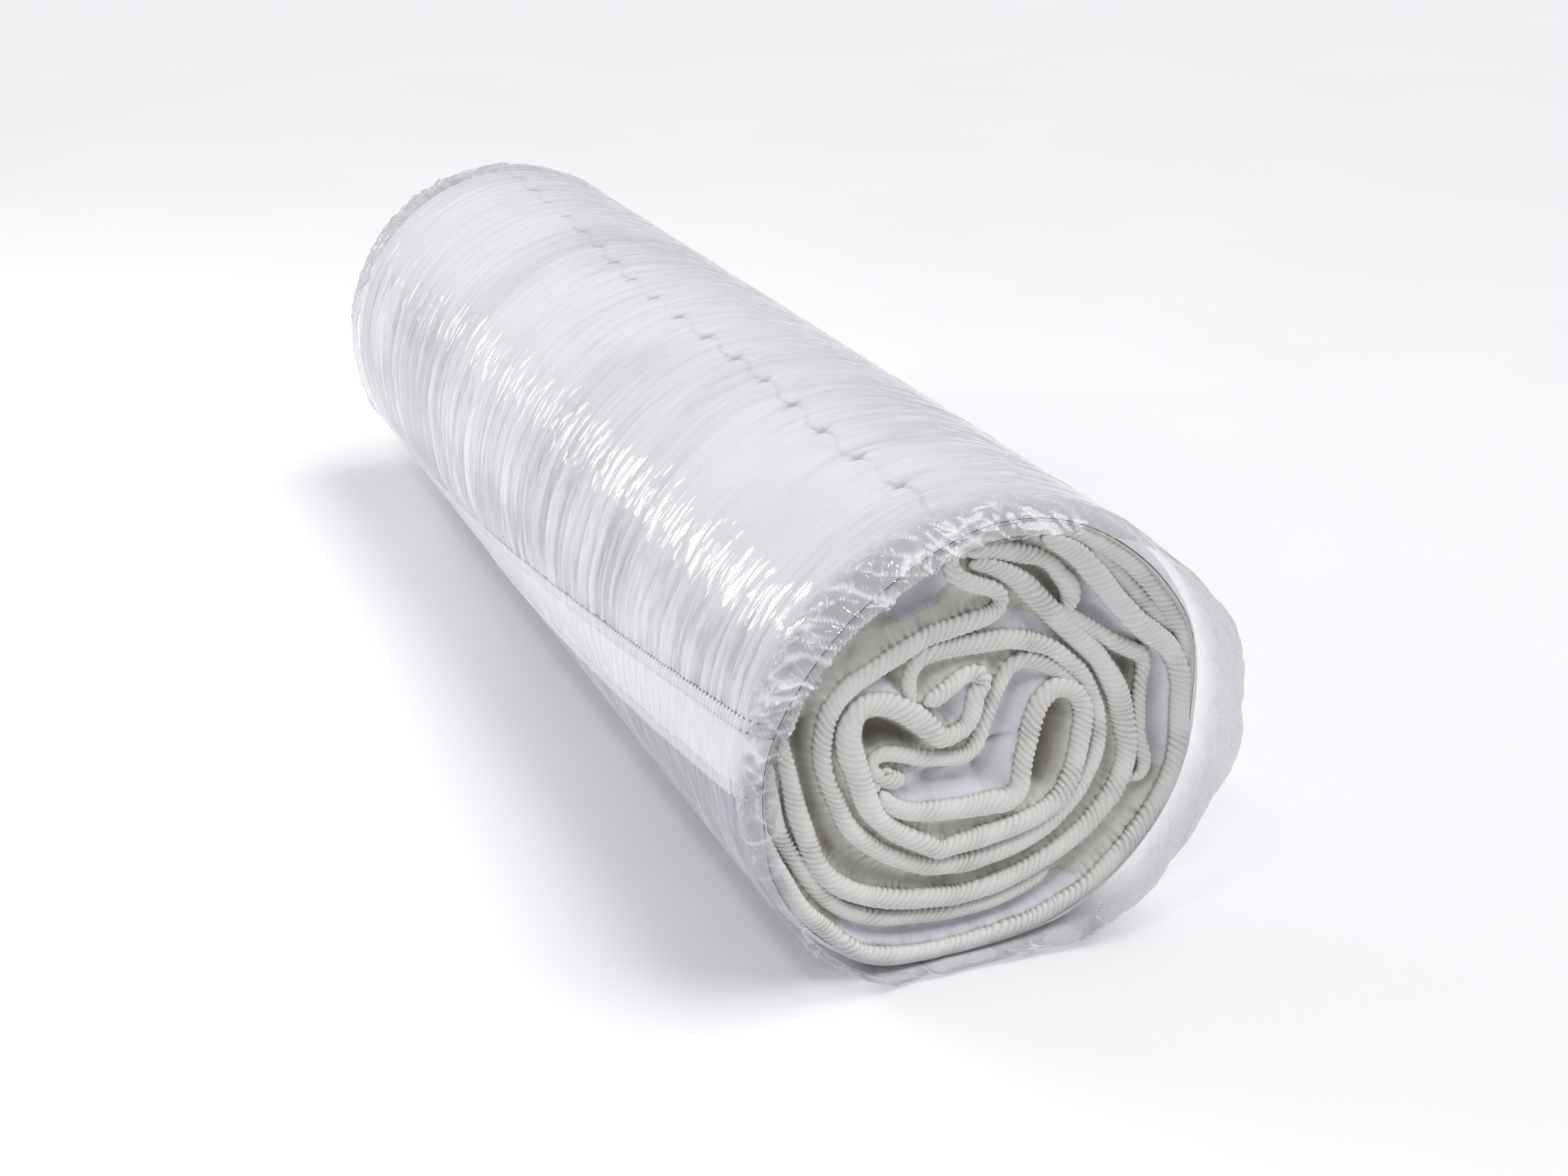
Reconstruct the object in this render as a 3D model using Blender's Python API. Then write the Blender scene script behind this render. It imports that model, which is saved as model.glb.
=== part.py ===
"""A single memory foam mattress as it ships: pressed flat, rolled up and wrapped in clear stretch film.

Metres, +Z up. The roll lies on its side along Y, with the end that faces the viewer at -Y. Every piece of
the mattress is a block of one pressed slab. A place in the slab has three coordinates: u runs along the
slab from its outer end to its inner end, y runs across it, and depth runs from its outer face inwards.
"""

from math import atan2, cos, degrees, hypot, radians, sin

import bpy

MATTRESS_WIDTH = 0.990  # of a single or twin mattress, and so the length of the roll
ROLL_RADIUS = 0.1575
AXIS_HEIGHT = 0.143  # less than the radius, because the roll's weight flattens its underside
FILM_COLLAR = 0.0425  # how far the film runs past each end of the roll
FILM_WALL = 0.0006
FILM_STEP = 6  # degrees from one column of the film to the next
COLLAR_DRAW = 0.94  # the film's lip over its full width
TOUCH = 0.0003  # between pieces that touch
TURN_GAP = 0.0020  # between one turn of the slab and the next

PANEL = 0.0016  # thickness of the knitted cover
TAPE_DEPTH = 0.0095
TAPE_REACH = 0.008  # of a taped edge along Y, and along the slab at its two ends
BORDER_INSET = 0.003  # of the border behind the taped edges
MEMORY_SHARE = 0.35  # of the foam's depth

# The outer end runs askew, because the mattress was not rolled up square.
TIP = 164  # where the slab's outer end lies, in degrees from +X, at the near end of the roll
TIP_SKEW = 57  # how much further round it lies at the far end
TIP_DEPTH = 0.005
TIP_RAMP = 14  # degrees over which the end border slopes up to the roll's full radius
LEAF_DEPTH = 0.0125  # of the pressed slab where its end begins
LEAF_GROWTH = 0.0006  # more depth for each degree
DIVE = 12  # degrees over which the turn below passes under the tip
COLUMN = 12  # degrees from one column of points to the next
SKEW_END = 660  # columns further in than this don't feel the askew tip
WRAPPED = 1080  # where the turns stop and the folded core starts
CORE_STEP = 10

# Radius of the slab's inner face at each angle, for the two and a half turns.
INNER_FACE = (
    (164, 0.1405), (180, 0.135), (225, 0.119), (270, 0.108), (315, 0.111), (360, 0.109),
    (405, 0.104), (450, 0.108), (495, 0.115), (540, 0.102), (585, 0.096), (630, 0.089),
    (675, 0.090), (720, 0.089), (742, 0.080), (765, 0.070), (810, 0.064), (855, 0.083),
    (900, 0.080), (945, 0.071), (990, 0.0525), (1035, 0.064), (1080, 0.060), (1125, 0.060),
)
# Where the slab has buckled into the hollow of the core: column, then x and z of its inner face.
BUCKLE = (
    (792, 0.021, 0.0647), (804, 0.005, 0.063), (816, 0.0035, 0.050), (828, 0.002, 0.031),
    (840, -0.007, 0.011), (852, -0.026, 0.007), (864, -0.048, 0.028), (876, -0.068, 0.040),
    (888, -0.083, 0.030), (900, -0.080, 0.000),
)
# The folded core: middle of the slab in x and z from the roll's axis, and its depth there.
CORE = (
    (0.0742, 0.000, 0.0282), (0.068, 0.015, 0.022), (0.057, 0.029, 0.019), (0.044, 0.036, 0.019),
    (0.031, 0.040, 0.020), (0.021, 0.034, 0.022), (0.017, 0.020, 0.026), (0.014, 0.001, 0.030),
    (0.005, -0.018, 0.040), (-0.012, -0.026, 0.036), (-0.037, -0.027, 0.034),
    (-0.057, -0.019, 0.026), (-0.069, -0.007, 0.015),
)

HALF = MATTRESS_WIDTH / 2
INSIDE = HALF - TAPE_REACH - TOUCH
FILM_INSET = FILM_WALL + TOUCH

# Places along the slab where one piece ends and the next starts.
SEAM = 0.15  # degrees of gap between pieces along the slab
TIP_TAPE = TIP + 2.6
FOAM_START = TIP + 7
RAMP_TOP = TIP + TIP_RAMP
TOP_TAPE = RAMP_TOP + 2.8
SLAB_END = WRAPPED + CORE_STEP * (2 * len(CORE) - 2)
END_TAPE = SLAB_END - 6
END_BORDER = SLAB_END - 1
CORE_SEAM = 0.5

# Touching pieces share their columns, and so does the turn under the askew tip.
TIP_COLUMNS = [TIP, TIP_TAPE + SEAM, FOAM_START, RAMP_TOP - SEAM, RAMP_TOP, TOP_TAPE, TOP_TAPE + SEAM]
COLUMNS = sorted(
    [WRAPPED - COLUMN * i for i in range((WRAPPED - TIP) // COLUMN + 1)]
    + TIP_COLUMNS
    + [360 + u for u in TIP_COLUMNS]
    + [WRAPPED + CORE_STEP * i for i in range(1, 2 * len(CORE) - 1)]
)


def spline(points, x):
    """A smooth curve through rows of (x, value, ...), read at x."""
    i = max(k for k in range(len(points) - 1) if k == 0 or points[k][0] <= x)
    a, b = points[i], points[i + 1]
    before = points[max(i - 1, 0)]
    after = points[min(i + 2, len(points) - 1)]
    t = (x - a[0]) / (b[0] - a[0])
    values = []
    for k in range(1, len(a)):
        start = (b[k] - before[k]) / (b[0] - before[0]) * (b[0] - a[0])
        end = (after[k] - a[k]) / (after[0] - a[0]) * (b[0] - a[0])
        values.append(
            (2 * t**3 - 3 * t**2 + 1) * a[k]
            + (t**3 - 2 * t**2 + t) * start
            + (3 * t**2 - 2 * t**3) * b[k]
            + (t**3 - t**2) * end
        )
    return values


def ease(x):
    x = min(max(x, 0), 1)
    return x * x * (3 - 2 * x)


def hull(angle, inset):
    """Radius of the roll's outside at an angle, less inset: a circle with a flat underside."""
    radius = ROLL_RADIUS - inset
    down = -sin(radians(angle))
    return min(radius, (AXIS_HEIGHT - inset) / down) if down > 0 else radius


def tip(y):
    return TIP + TIP_SKEW * (y / MATTRESS_WIDTH + 0.5)


def angle_of(u, y):
    """The angle of column u. Columns follow the askew tip on the two turns near it, and no others."""
    if u > SKEW_END:
        return u
    past = (u - TIP + 180) % 360 - 180
    follow = ease((past + 170) / 155) if past < 0 else 1 - ease((past - 20) / 100)
    return u + (tip(y) - TIP) * follow


def inner_radius(angle, y):
    radius = spline(INNER_FACE, angle)[0]
    if angle > TIP + 200:
        return radius
    leaf = LEAF_DEPTH + LEAF_GROWTH * (angle - tip(y))
    return max(radius, hull(angle, FILM_INSET) - leaf)


def outer_radius(angle, y):
    surface = hull(angle, FILM_INSET)
    past = angle - tip(y)
    if past < TIP_RAMP:
        low = inner_radius(angle, y) + TIP_DEPTH
        return low + (surface - low) * ease(past / TIP_RAMP)
    if past < 360 - DIVE:
        return surface
    under = inner_radius(max(angle - 360, tip(y)), y) - TURN_GAP
    return surface + (under - surface) * ease((past - 360 + DIVE) / DIVE)


def core_faces(u):
    rows = [(WRAPPED + 2 * CORE_STEP * i, *row) for i, row in enumerate(CORE)]
    x, z, depth = spline(rows, u)
    ahead, behind = spline(rows, u + 0.5), spline(rows, u - 0.5)
    run, rise = ahead[0] - behind[0], ahead[1] - behind[1]
    if u == WRAPPED:
        run, rise = 0, 1
    length = hypot(run, rise)
    across_x, across_z = rise / length * depth / 2, -run / length * depth / 2
    return (x + across_x, z + across_z), (x - across_x, z - across_z)


def faces_of(u, y):
    """The (x, z) of the slab's outer and inner face at a place, from the roll's axis."""
    if u >= WRAPPED:
        return core_faces(u)
    angle = angle_of(u, y)
    ray = cos(radians(angle)), sin(radians(angle))
    outer, inner = outer_radius(angle, y), inner_radius(angle, y)
    outer_face = ray[0] * outer, ray[1] * outer
    if BUCKLE[0][0] < u < BUCKLE[-1][0]:
        return outer_face, tuple(spline(BUCKLE, u))
    return outer_face, (ray[0] * inner, ray[1] * inner)


def place(u, y, depth_at):
    outer, inner = faces_of(u, y)
    thickness = hypot(outer[0] - inner[0], outer[1] - inner[1])
    share = depth_at(thickness) / thickness
    x = outer[0] + (inner[0] - outer[0]) * share
    z = outer[1] + (inner[1] - outer[1]) * share
    return x, y, z + AXIS_HEIGHT


def stations(start, end, count):
    return [start + (end - start) * i / (count - 1) for i in range(count)]


def between(start, end):
    """Columns from start to end, with the shared ones between them."""
    return [start, *(u for u in COLUMNS if start < u < end), end]


def material(name, colour, roughness, alpha=1.0):
    made = bpy.data.materials.new(name)
    made.use_nodes = True
    shader = made.node_tree.nodes["Principled BSDF"]
    shader.inputs["Base Color"].default_value = (*colour, 1)
    shader.inputs["Roughness"].default_value = roughness
    shader.inputs["Metallic"].default_value = 0
    shader.inputs["Alpha"].default_value = alpha
    return made


def add_object(name, points, faces, finish):
    mesh = bpy.data.meshes.new(name)
    mesh.from_pydata(points, [], faces)
    mesh.validate()
    made = bpy.data.objects.new(name, mesh)
    made.data.materials.append(material(name, *finish))
    bpy.context.collection.objects.link(made)
    return made


def ring_faces(rings, size, turned=0):
    """Triangles that join equal rings of points. The first quads of a ring take the other diagonal."""
    faces = []
    for i in range(rings - 1):
        for k in range(size):
            a, b = i * size + k, i * size + (k + 1) % size
            c, d = a + size, b + size
            faces += [(a, b, c), (b, d, c)] if k < turned else [(a, b, d), (a, d, c)]
    return faces


def block(name, columns, top, bottom, ys, finish):
    """A block of the slab, from depth top to depth bottom, as one closed body.

    Top and bottom are split along the same diagonals, so that blocks that touch stay parallel.
    """
    rows = len(ys)
    points = []
    for u in columns:
        points += [place(u, y, top) for y in ys]
        points += [place(u, y, bottom) for y in reversed(ys)]
    faces = ring_faces(len(columns), 2 * rows, turned=rows - 1)
    last = (len(columns) - 1) * 2 * rows
    for k in range(rows - 1):
        a, b, c, d = k, k + 1, 2 * rows - 2 - k, 2 * rows - 1 - k
        faces += [(a, c, b), (a, d, c)]
        faces += [(last + a, last + b, last + c), (last + a, last + c, last + d)]
    return add_object(name, points, faces, finish)


WHITE_KNIT = ((0.86, 0.865, 0.84), 0.9)
WHITE_TAPE = ((0.88, 0.88, 0.86), 0.85)
LILAC_BORDER = ((0.80, 0.78, 0.84), 0.8)
FOAM_WHITE = ((0.93, 0.92, 0.86), 0.95)
FOAM_CREAM = ((0.90, 0.88, 0.78), 0.95)
CLEAR_FILM = ((0.92, 0.93, 0.95), 0.12, 0.25)


def surface(_):
    return 0.0


def whole(thickness):
    return thickness


def tape_depth(thickness):
    return min(TAPE_DEPTH, 0.38 * thickness)


def past_tape(thickness):
    return tape_depth(thickness) + TOUCH


def above_inner_tape(thickness):
    return thickness - tape_depth(thickness)


def before_inner_tape(thickness):
    return thickness - past_tape(thickness)


def panel_depth(_):
    return PANEL


def above_inner_panel(thickness):
    return thickness - PANEL


def foam_top(_):
    return PANEL + TOUCH


def foam_bottom(thickness):
    return thickness - PANEL - TOUCH


def foam_split(thickness):
    return foam_bottom(thickness) - MEMORY_SHARE * (thickness - 2 * (PANEL + TOUCH))


def below_split(thickness):
    return foam_split(thickness) + TOUCH


def foam():
    ys = stations(-INSIDE, INSIDE, 5)
    columns = between(FOAM_START, END_TAPE - CORE_SEAM)
    block("support_foam", columns, foam_top, foam_split, ys, FOAM_WHITE)
    block("memory_foam", columns, below_split, foam_bottom, ys, FOAM_CREAM)


def cover():
    ys = stations(-INSIDE, INSIDE, 5)
    outer = between(TOP_TAPE + SEAM, END_TAPE - CORE_SEAM)
    inner = between(TIP_TAPE + SEAM, END_TAPE - CORE_SEAM)
    block("cover_outside_panel", outer, surface, panel_depth, ys, WHITE_KNIT)
    block("cover_inside_panel", inner, above_inner_panel, whole, ys, WHITE_KNIT)


def side_edge(side, direction):
    """The border and its two taped edges along one long side of the mattress."""
    edge, inside = direction * HALF, direction * (HALF - TAPE_REACH)
    ys = sorted((edge, inside))
    columns = between(TIP, SLAB_END)
    block(f"edge_tape_outside_{side}", columns, surface, tape_depth, ys, WHITE_TAPE)
    block(f"edge_tape_inside_{side}", columns, above_inner_tape, whole, ys, WHITE_TAPE)
    front = edge - direction * BORDER_INSET
    ys = sorted((front, front - direction * PANEL))
    block(f"border_{side}", columns, past_tape, before_inner_tape, ys, LILAC_BORDER)


def foot_end():
    """The border that slopes over the slab's outer end, and its two taped edges."""
    ys = stations(-INSIDE, INSIDE, 5)
    block("edge_tape_inside_foot", [TIP, TIP_TAPE], surface, whole, ys, WHITE_TAPE)
    slope = between(TIP_TAPE + SEAM, RAMP_TOP - SEAM)
    block("border_foot", slope, surface, panel_depth, ys, LILAC_BORDER)
    tape = [RAMP_TOP, TOP_TAPE]
    block("edge_tape_outside_foot", tape, surface, panel_depth, ys, WHITE_TAPE)


def head_end():
    """The border that closes the slab's inner end, in the middle of the roll."""
    ys = stations(-INSIDE, INSIDE, 2)
    tape = [END_TAPE, SLAB_END]
    block("edge_tape_outside_head", tape, surface, tape_depth, ys, WHITE_TAPE)
    block("edge_tape_inside_head", tape, above_inner_tape, whole, ys, WHITE_TAPE)
    block("border_head", [END_BORDER, SLAB_END], past_tape, before_inner_tape, ys, LILAC_BORDER)


def stretch_film():
    """A sleeve round the roll, open at both ends, with its lips drawn in."""
    corner = degrees(atan2(AXIS_HEIGHT, (ROLL_RADIUS**2 - AXIS_HEIGHT**2) ** 0.5))
    angles = sorted([FILM_STEP * i for i in range(60)] + [180 + corner, 360 - corner])
    lip = HALF + FILM_COLLAR
    outside = [(-lip, COLLAR_DRAW), (-HALF, 1), (HALF, 1), (lip, COLLAR_DRAW)]
    inside = [(y, scale) for y, scale in reversed(outside)]
    points = []
    for inset, path in ((0, outside), (FILM_WALL, inside)):
        for y, scale in path:
            for angle in angles:
                radius = hull(angle, inset) * scale
                x, z = radius * cos(radians(angle)), radius * sin(radians(angle))
                points.append((x, y, z + AXIS_HEIGHT))
    size = len(angles)
    faces = ring_faces(len(outside) + len(inside), size)
    last = (len(outside) + len(inside) - 1) * size
    for k in range(size):
        after = (k + 1) % size
        faces += [(last + k, last + after, after), (last + k, after, k)]
    outward = [face[::-1] for face in faces]
    return add_object("stretch_film", points, outward, CLEAR_FILM)


def main():
    for old in list(bpy.data.objects):
        bpy.data.objects.remove(old)
    foam()
    cover()
    side_edge("near", -1)
    side_edge("far", 1)
    foot_end()
    head_end()
    stretch_film()


main()
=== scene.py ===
"""The looks of a rolled memory foam mattress in clear stretch film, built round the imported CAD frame.

Every piece of cloth is a surface in slab coordinates, as in the CAD: u runs along the slab from its outer end
inwards, in degrees, y runs across it, and depth runs from its outer face to its inner face. Metres, +Z up.
"""

import math

import bpy
import numpy as np
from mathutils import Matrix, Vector


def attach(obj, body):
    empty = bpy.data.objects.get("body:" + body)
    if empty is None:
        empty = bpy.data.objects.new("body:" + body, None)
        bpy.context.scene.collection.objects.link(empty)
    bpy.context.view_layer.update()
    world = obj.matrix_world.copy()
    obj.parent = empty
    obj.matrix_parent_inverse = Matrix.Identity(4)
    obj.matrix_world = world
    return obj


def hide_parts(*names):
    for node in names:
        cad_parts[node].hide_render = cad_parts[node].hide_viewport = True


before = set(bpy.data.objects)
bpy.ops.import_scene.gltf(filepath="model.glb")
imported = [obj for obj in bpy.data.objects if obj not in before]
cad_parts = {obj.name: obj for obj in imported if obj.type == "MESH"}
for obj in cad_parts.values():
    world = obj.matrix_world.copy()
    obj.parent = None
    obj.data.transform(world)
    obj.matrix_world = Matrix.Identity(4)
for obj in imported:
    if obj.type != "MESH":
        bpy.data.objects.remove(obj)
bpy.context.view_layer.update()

# The slab, as the CAD lays it out.
MATTRESS_WIDTH = 0.990
ROLL_RADIUS = 0.1575
AXIS_HEIGHT = 0.143
FILM_INSET = 0.0009
TURN_GAP = 0.0020
TIP, TIP_SKEW = 164, 57
TIP_RAMP = 14
LEAF_DEPTH, LEAF_GROWTH = 0.0125, 0.0006
DIVE = 12
SKEW_END = 660
WRAPPED = 1080
CORE_STEP = 10
INNER_FACE = (
    (164, 0.1405), (180, 0.135), (225, 0.119), (270, 0.108), (315, 0.111), (360, 0.109),
    (405, 0.104), (450, 0.108), (495, 0.115), (540, 0.102), (585, 0.096), (630, 0.089),
    (675, 0.090), (720, 0.089), (742, 0.080), (765, 0.070), (810, 0.064), (855, 0.083),
    (900, 0.080), (945, 0.071), (990, 0.0525), (1035, 0.064), (1080, 0.060), (1125, 0.060),
)
BUCKLE = (
    (792, 0.021, 0.0647), (804, 0.005, 0.063), (816, 0.0035, 0.050), (828, 0.002, 0.031),
    (840, -0.007, 0.011), (852, -0.026, 0.007), (864, -0.048, 0.028), (876, -0.068, 0.040),
    (888, -0.083, 0.030), (900, -0.080, 0.000),
)
CORE = (
    (0.0742, 0.000, 0.0282), (0.068, 0.015, 0.022), (0.057, 0.029, 0.019), (0.044, 0.036, 0.019),
    (0.031, 0.040, 0.020), (0.021, 0.034, 0.022), (0.017, 0.020, 0.026), (0.014, 0.001, 0.030),
    (0.005, -0.018, 0.040), (-0.012, -0.026, 0.036), (-0.037, -0.027, 0.034),
    (-0.057, -0.019, 0.026), (-0.069, -0.007, 0.015),
)
HALF = MATTRESS_WIDTH / 2
RAMP_TOP = TIP + TIP_RAMP
SLAB_END = WRAPPED + CORE_STEP * (2 * len(CORE) - 2)

# Where each piece of cover starts along the slab.
TIP_TAPE = TIP + 2.6
TOP_TAPE = RAMP_TOP + 2.8
FOAM_START = TIP + 7
END_TAPE = SLAB_END - 6

# The sewn edges.
BEAD_REACH = 0.0056  # half of a sewn edge's size along Y
BEAD_MIDDLE = HALF - 0.0047
PUCKER = 0.0044  # from one pucker to the next
PUCKER_DEPTH = 0.0022
RECESS = 0.0270  # of the turns behind the cloth that is drawn at each end of the roll
SHOULDER = 0.026  # from each end of the roll to where the cover begins to draw in
END_CELL = 0.00125  # of the grid for the cloth between the beads

# What lies between the slab's faces and its foam, and how deep the folds of the outer turn may go into it.
COVER_SHELL = 0.0050
DEEPEST_FOLD = 0.0047
FOAM_RECESS = 0.030  # from each end of the roll to the foam

# The film's collars start inside the roll's ends, and reach no further than this past them.
COLLAR_START = HALF - 0.034
COLLAR_REACH = 0.044

# Radius of the cover where it ends, at each angle.
# Its shoulders are rounded in, most of all at the upper left.
RIM = (
    (-20, 0.1490), (0, 0.1460), (20, 0.1505), (35, 0.1480), (50, 0.1460), (75, 0.1450), (90, 0.1420),
    (105, 0.1360), (120, 0.1320), (135, 0.1320), (150, 0.1340), (162, 0.1380), (175, 0.1420), (190, 0.1440),
    (205, 0.1490), (240, 0.1500), (255, 0.1460), (270, 0.1415), (285, 0.1430), (300, 0.1450), (320, 0.1480),
    (340, 0.1490), (360, 0.1460), (380, 0.1505),
)

# The beads as they lie over the end of the roll, in millimetres from its axis: x, z and width. The first four
# belong to the slab's outer face and the others to its inner face. Each has its depth behind the front first.
OUTER_BEADS = (
    (4, ((-127, 29, 8), (-122, 45, 10), (-113, 62, 11), (-103, 76, 11), (-92, 88, 12), (-80, 97, 12),
     (-66, 107, 12), (-50, 116, 12), (-33, 125, 12), (-15, 132, 12), (5, 136, 12), (25, 136, 12),
     (43, 132, 12), (62, 125, 12), (80, 114, 12), (98, 100, 12), (114, 83, 12), (127, 66, 12), (137, 50, 11),
     (141, 37, 9), (141, 24, 6))),
    (1, ((34, 128, 8), (48, 120, 13), (60, 111, 15), (70, 101, 15), (80, 89, 15), (90, 76, 15), (101, 63, 15),
     (114, 52, 14), (126, 42, 14), (133, 31, 14), (137, 18, 15), (138, 4, 15), (139, -12, 14), (139, -28, 14),
     (137, -43, 13), (131, -58, 13), (121, -74, 13), (109, -89, 13), (96, -102, 13), (80, -114, 12),
     (60, -124, 12), (38, -131, 12), (15, -134, 12), (-10, -136, 12), (-36, -135, 12), (-60, -131, 12),
     (-80, -123, 12), (-96, -109, 12), (-110, -94, 12), (-121, -78, 11), (-130, -60, 10), (-137, -42, 8),
     (-141, -26, 6))),
    (4, ((-128, 29, 6), (-126, 14, 10), (-123, -2, 12), (-119, -20, 13), (-114, -38, 13), (-107, -56, 13),
     (-97, -71, 13), (-82, -83, 13), (-62, -92, 13), (-40, -98, 13), (-15, -101, 13), (8, -101, 13),
     (30, -97, 13), (52, -90, 13), (70, -80, 13), (85, -67, 14), (96, -53, 15), (103, -38, 15),
     (105, -22, 16), (102, -8, 17), (98, 5, 17), (93, 18, 16), (86, 31, 15), (78, 43, 14), (68, 53, 14),
     (58, 63, 14), (48, 74, 14), (38, 85, 14), (28, 95, 14), (18, 104, 13), (8, 111, 12), (-2, 116, 10),
     (-12, 117, 7))),
    (0, ((-67, -16, 7), (-61, -26, 11), (-50, -33, 12), (-33, -37, 13), (-13, -39, 14), (6, -40, 15),
     (18, -41, 15), (25, -36, 14), (27, -26, 13), (28, -14, 13), (31, 0, 14), (34, 12, 14), (38, 22, 14),
     (46, 29, 13), (55, 28, 12), (63, 22, 12), (68, 12, 13), (68, 0, 14), (67, -12, 14), (65, -24, 14),
     (61, -36, 14), (54, -47, 14), (43, -54, 14), (30, -58, 14), (12, -61, 14), (-5, -63, 14), (-18, -64, 13),
     (-27, -65, 12), (-36, -59, 13), (-50, -50, 14), (-62, -41, 14), (-72, -29, 15), (-78, -15, 16),
     (-83, 0, 17), (-87, 13, 17), (-88, 26, 16), (-85, 36, 14), (-78, 42, 14), (-67, 41, 15), (-55, 35, 15),
     (-44, 27, 15), (-35, 18, 14), (-28, 11, 12), (-20, 12, 12), (-12, 16, 12), (-8, 25, 12), (-6, 35, 12),
     (-2, 43, 12), (-6, 50, 11), (-14, 50, 11), (-22, 45, 12), (-31, 39, 12), (-40, 35, 9))),
)
INNER_BEADS = (
    (6, ((-135, 14, 6), (-136, 2, 8), (-134, -16, 10), (-129, -35, 11), (-120, -53, 11), (-110, -70, 11),
     (-98, -86, 11), (-84, -98, 11), (-62, -107, 11), (-37, -112, 11), (-12, -114, 11), (12, -113, 11),
     (30, -110, 11), (44, -105, 10), (55, -99, 6))),
    (6, ((-13, 124, 8), (0, 124, 11), (13, 121, 12), (25, 117, 12), (36, 113, 11), (44, 108, 11),
     (50, 101, 12), (56, 93, 13), (58, 85, 13), (56, 76, 10), (63, 68, 11), (72, 62, 11), (82, 55, 11),
     (92, 48, 11), (101, 43, 11), (109, 38, 11), (112, 30, 10), (111, 19, 9), (111, 6, 9), (113, -10, 9),
     (116, -25, 10), (119, -38, 10), (116, -46, 9), (107, -48, 6))),
    (7, ((64, 119, 6), (76, 108, 11), (87, 97, 12), (98, 85, 12), (108, 74, 12), (119, 63, 12), (130, 54, 10),
     (138, 46, 6))),
    (3, ((-45, 33, 8), (-48, 44, 9), (-47, 56, 10), (-40, 65, 12), (-28, 67, 12), (-14, 67, 13), (0, 67, 13),
     (15, 66, 13), (28, 63, 13), (40, 58, 12), (50, 51, 11), (60, 41, 11), (68, 31, 11), (75, 18, 11),
     (80, 5, 11), (82, -8, 11), (80, -22, 11), (74, -37, 12), (66, -50, 12), (54, -62, 13), (38, -71, 14),
     (20, -76, 14), (0, -79, 14), (-22, -78, 13), (-44, -72, 12), (-62, -62, 12), (-77, -49, 12),
     (-88, -34, 12), (-96, -17, 12), (-101, 0, 12), (-104, 18, 12), (-102, 34, 12), (-96, 46, 12),
     (-87, 54, 12), (-77, 60, 12), (-66, 65, 12), (-54, 70, 12), (-40, 75, 12), (-25, 79, 12), (-10, 82, 12),
     (2, 84, 12), (8, 88, 11), (9, 94, 11), (4, 100, 11), (-5, 104, 11), (-14, 108, 11), (-21, 113, 11),
     (-24, 120, 10), (-20, 127, 7))),
    (3, ((-50, -13, 12), (-57, -12, 13), (-64, -9, 12), (-70, -4, 10), (-71, 3, 9), (-64, 6, 10),
     (-52, 3, 10), (-38, -2, 10), (-22, -5, 10), (-9, -5, 10), (-1, 2, 10), (3, 14, 10), (7, 27, 10),
     (12, 39, 10), (18, 48, 11), (28, 51, 11), (40, 46, 11), (51, 38, 10), (60, 30, 8), (66, 21, 6))),
)

# The smooth lilac border between beads of one edge, and the places where the cloth lies deeper or shallower
# than elsewhere: depth in millimetres, then corners.
LILAC = (
    (6, ((-60, -14), (-20, -6), (-6, -5), (3, 15), (12, 38), (20, 47), (30, 47), (45, 40), (62, 26), (48, 28),
     (38, 22), (31, 0), (27, -36), (20, -41), (-15, -39), (-50, -33), (-64, -20))),
    (5, ((-88, -103), (-60, -108), (-10, -115), (30, -111), (48, -104), (64, -106), (84, -112), (62, -123),
     (15, -134), (-40, -135), (-75, -126), (-94, -111))),
    (5, ((108, 44), (126, 42), (134, 30), (138, 4), (139, -28), (136, -44), (119, -40), (113, -10), (111, 10),
     (113, 34))),
    (7, ((44, 109), (58, 113), (70, 101), (90, 76), (112, 53), (102, 43), (80, 57), (58, 73), (60, 86),
     (52, 99))),
    (8, ((-64, 106), (-20, 130), (-22, 113), (-30, 96), (-52, 88), (-68, 96))),
    (4, ((-30, 73), (10, 85), (34, 77), (54, 56), (40, 60), (20, 66), (-5, 68))),
    (9, ((-31, 31), (-10, 47), (-7, 40), (-12, 25), (-20, 19))),
    (5, ((-88, 54), (-70, 63), (-48, 36), (-62, 40), (-80, 44))),
)
DEPTHS = (
    (3, ((-100, 70), (-80, 88), (-52, 88), (-20, 100), (8, 96), (2, 84), (-40, 75), (-80, 58), (-104, 40),
     (-112, 50))),
    (4, ((-20, 100), (-30, 110), (-5, 104), (8, 96), (4, 88))),
    (15, ((-124, 30), (-108, 40), (-110, 0), (-104, -32), (-92, -56), (-104, -54), (-114, -30), (-121, 0))),
    (14, ((16, 110), (30, 110), (48, 100), (57, 84), (54, 76), (40, 88))),
    (14, ((86, 44), (104, 40), (110, 30), (108, 0), (112, -36), (106, -42), (108, -10), (98, 18))),
    (14, ((-68, 63), (-52, 68), (-48, 56), (-52, 38))),
    (17, ((40, 14), (46, 24), (56, 22), (63, 14), (62, 0), (58, -24), (52, -40), (40, -36), (34, -20),
     (36, 0))),
    (19, ((-77, 26), (-66, 31), (-50, 24), (-36, 9), (-50, 6), (-66, 10), (-76, 12))),
    (3, ((70, -82), (95, -55), (107, -48), (118, -46), (130, -60), (108, -88), (84, -112), (50, -98))),
)


def ease(x):
    x = np.clip(x, 0, 1)
    return x * x * (3 - 2 * x)


def bell(x):
    return np.exp(-(x * x))


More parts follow.
